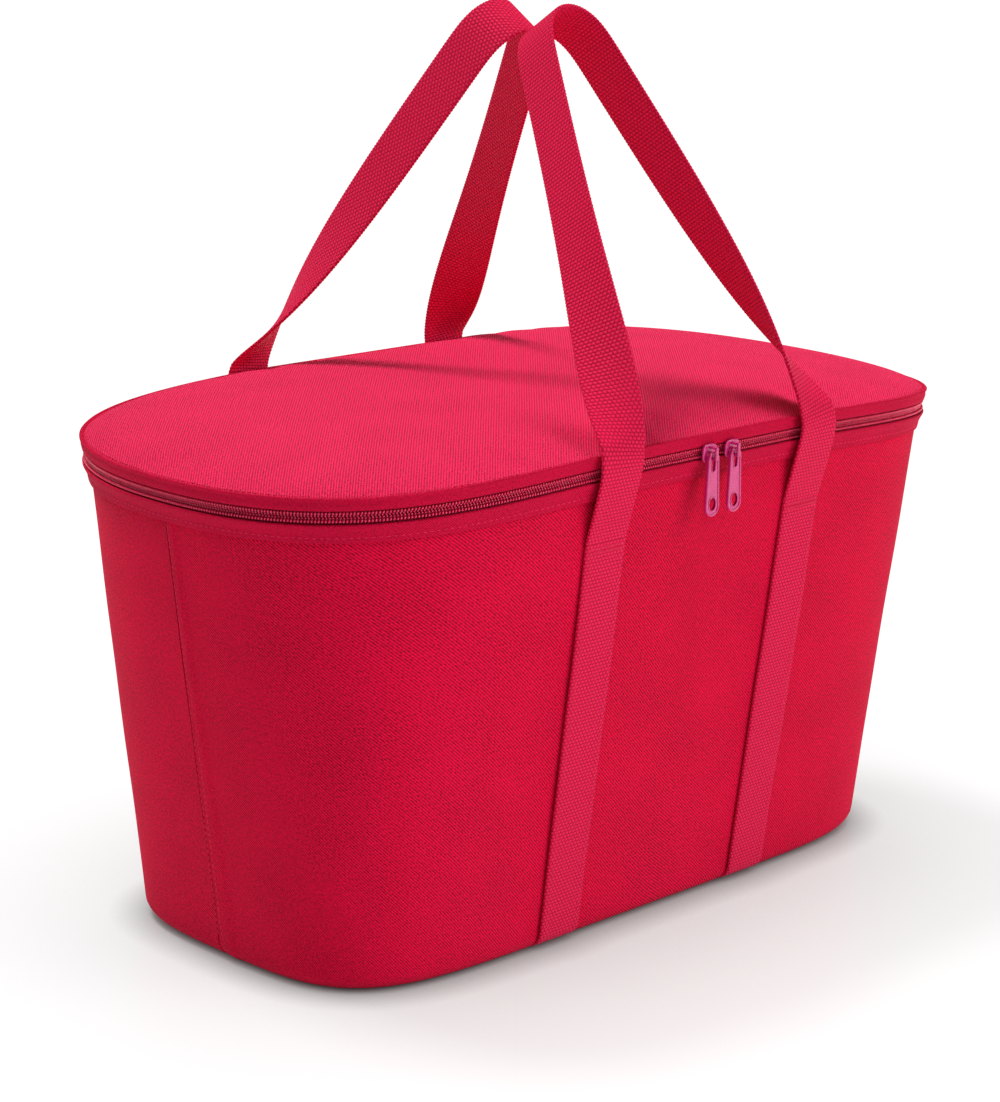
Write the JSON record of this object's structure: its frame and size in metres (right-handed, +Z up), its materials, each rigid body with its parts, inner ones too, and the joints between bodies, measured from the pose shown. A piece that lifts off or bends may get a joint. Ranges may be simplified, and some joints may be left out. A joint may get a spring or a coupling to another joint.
{
  "type": "insulated cooler bag",
  "caption": "Soft oblong cooler bag: foam-walled tapered tub, zipped padded lid hinged at the back, and webbing handles that meet over the middle.",
  "frame": {"origin": "on the floor, under the middle of the bag", "axes": "+X along the bag's length, -Y the front, where the zip sliders meet, +Z up"},
  "size_m": [0.445, 0.259, 0.4229],
  "materials": {
    "outer_fabric": "matte twill weave",
    "band_fabric": "matte woven tape",
    "webbing": "coarse basket-weave webbing",
    "binding": "matte woven tape",
    "foam": "closed-cell foam",
    "board": "matte sheet",
    "lining": "silver-grey wipe-clean film",
    "zip_tape": "fine woven tape",
    "zip_teeth": "moulded coil",
    "zip_hardware": "glossy translucent plastic",
    "thread": "dense stitching"
  },
  "bodies": {
    "bag": {"front_outer_panel": "outer_fabric", "back_outer_panel": "outer_fabric", "base_outer_panel": "outer_fabric", "front_wall_foam": "foam", "back_wall_foam": "foam", "base_foam": "foam", "base_stiffener_board": "board", "front_lining_panel": "lining", "back_lining_panel": "lining", "base_lining_panel": "lining", "lower_rim_band": "band_fabric", "rim_binding_tape": "binding", "lower_zip_tape": "zip_tape", "lower_zip_teeth": "zip_teeth", "zip_end_stops": "binding", "lid_hinge_tape": "binding", "front_left_strap": "webbing", "front_right_strap": "webbing", "back_left_strap": "webbing", "back_right_strap": "webbing", "strap_bar_tacks": "thread"},
    "lid": {"lid_top_panel": "outer_fabric", "lid_foam": "foam", "lid_lining": "lining", "lid_rim_band": "band_fabric", "lid_edge_binding": "binding", "upper_zip_tape": "zip_tape", "upper_zip_teeth": "zip_teeth"},
    "left_slider": {"left_slider_body": "zip_hardware"},
    "right_slider": {"right_slider_body": "zip_hardware"},
    "left_pull": {"left_zip_pull": "zip_hardware"},
    "right_pull": {"right_zip_pull": "zip_hardware"},
    "front_strap_tails": {"front_strap_tails": "webbing"},
    "back_strap_tails": {"back_strap_tails": "webbing"},
    "front_handle": {"front_handle": "webbing"},
    "back_handle": {"back_handle": "webbing"}
  },
  "joints": [
    {"name": "lid_open", "type": "hinge", "parent": "bag", "child": "lid", "pos_m": [0, 0.1223, 0.2295], "axis": [-1, 0, 0], "range_deg": [0, 90]},
    {"name": "front_strap_lean", "type": "hinge", "parent": "bag", "child": "front_strap_tails", "pos_m": [0, -0.11821, 0.19679], "axis": [1, 0, 0], "range_deg": [0, 117]},
    {"name": "back_strap_lean", "type": "hinge", "parent": "bag", "child": "back_strap_tails", "pos_m": [0, 0.11821, 0.19679], "axis": [-1, 0, 0], "range_deg": [0, 117]},
    {"name": "front_handle_swing", "type": "hinge", "parent": "front_strap_tails", "child": "front_handle", "pos_m": [0, -0.12298, 0.21415], "axis": [1, 0, 0], "range_deg": [0, 48]},
    {"name": "back_handle_swing", "type": "hinge", "parent": "back_strap_tails", "child": "back_handle", "pos_m": [0, 0.12298, 0.21415], "axis": [-1, 0, 0], "range_deg": [0, 48]},
    {"name": "left_slider_travel", "type": "slide", "parent": "bag", "child": "left_slider", "axis": [-1, 0, 0], "range_m": [0, 0.036]},
    {"name": "right_slider_travel", "type": "slide", "parent": "bag", "child": "right_slider", "axis": [1, 0, 0], "range_m": [0, 0.036]},
    {"name": "left_pull_swing", "type": "hinge", "parent": "left_slider", "child": "left_pull", "pos_m": [-0.0075, -0.1266, 0.2295], "axis": [-1, 0, 0], "range_deg": [0, 165]},
    {"name": "right_pull_swing", "type": "hinge", "parent": "right_slider", "child": "right_pull", "pos_m": [0.0075, -0.1266, 0.2295], "axis": [-1, 0, 0], "range_deg": [0, 165]}
  ],
  "couplings": [
    {"joint": "front_strap_lean", "follows": "lid_open", "ratio": 1.3},
    {"joint": "back_strap_lean", "follows": "lid_open", "ratio": 1.3}
  ]
}
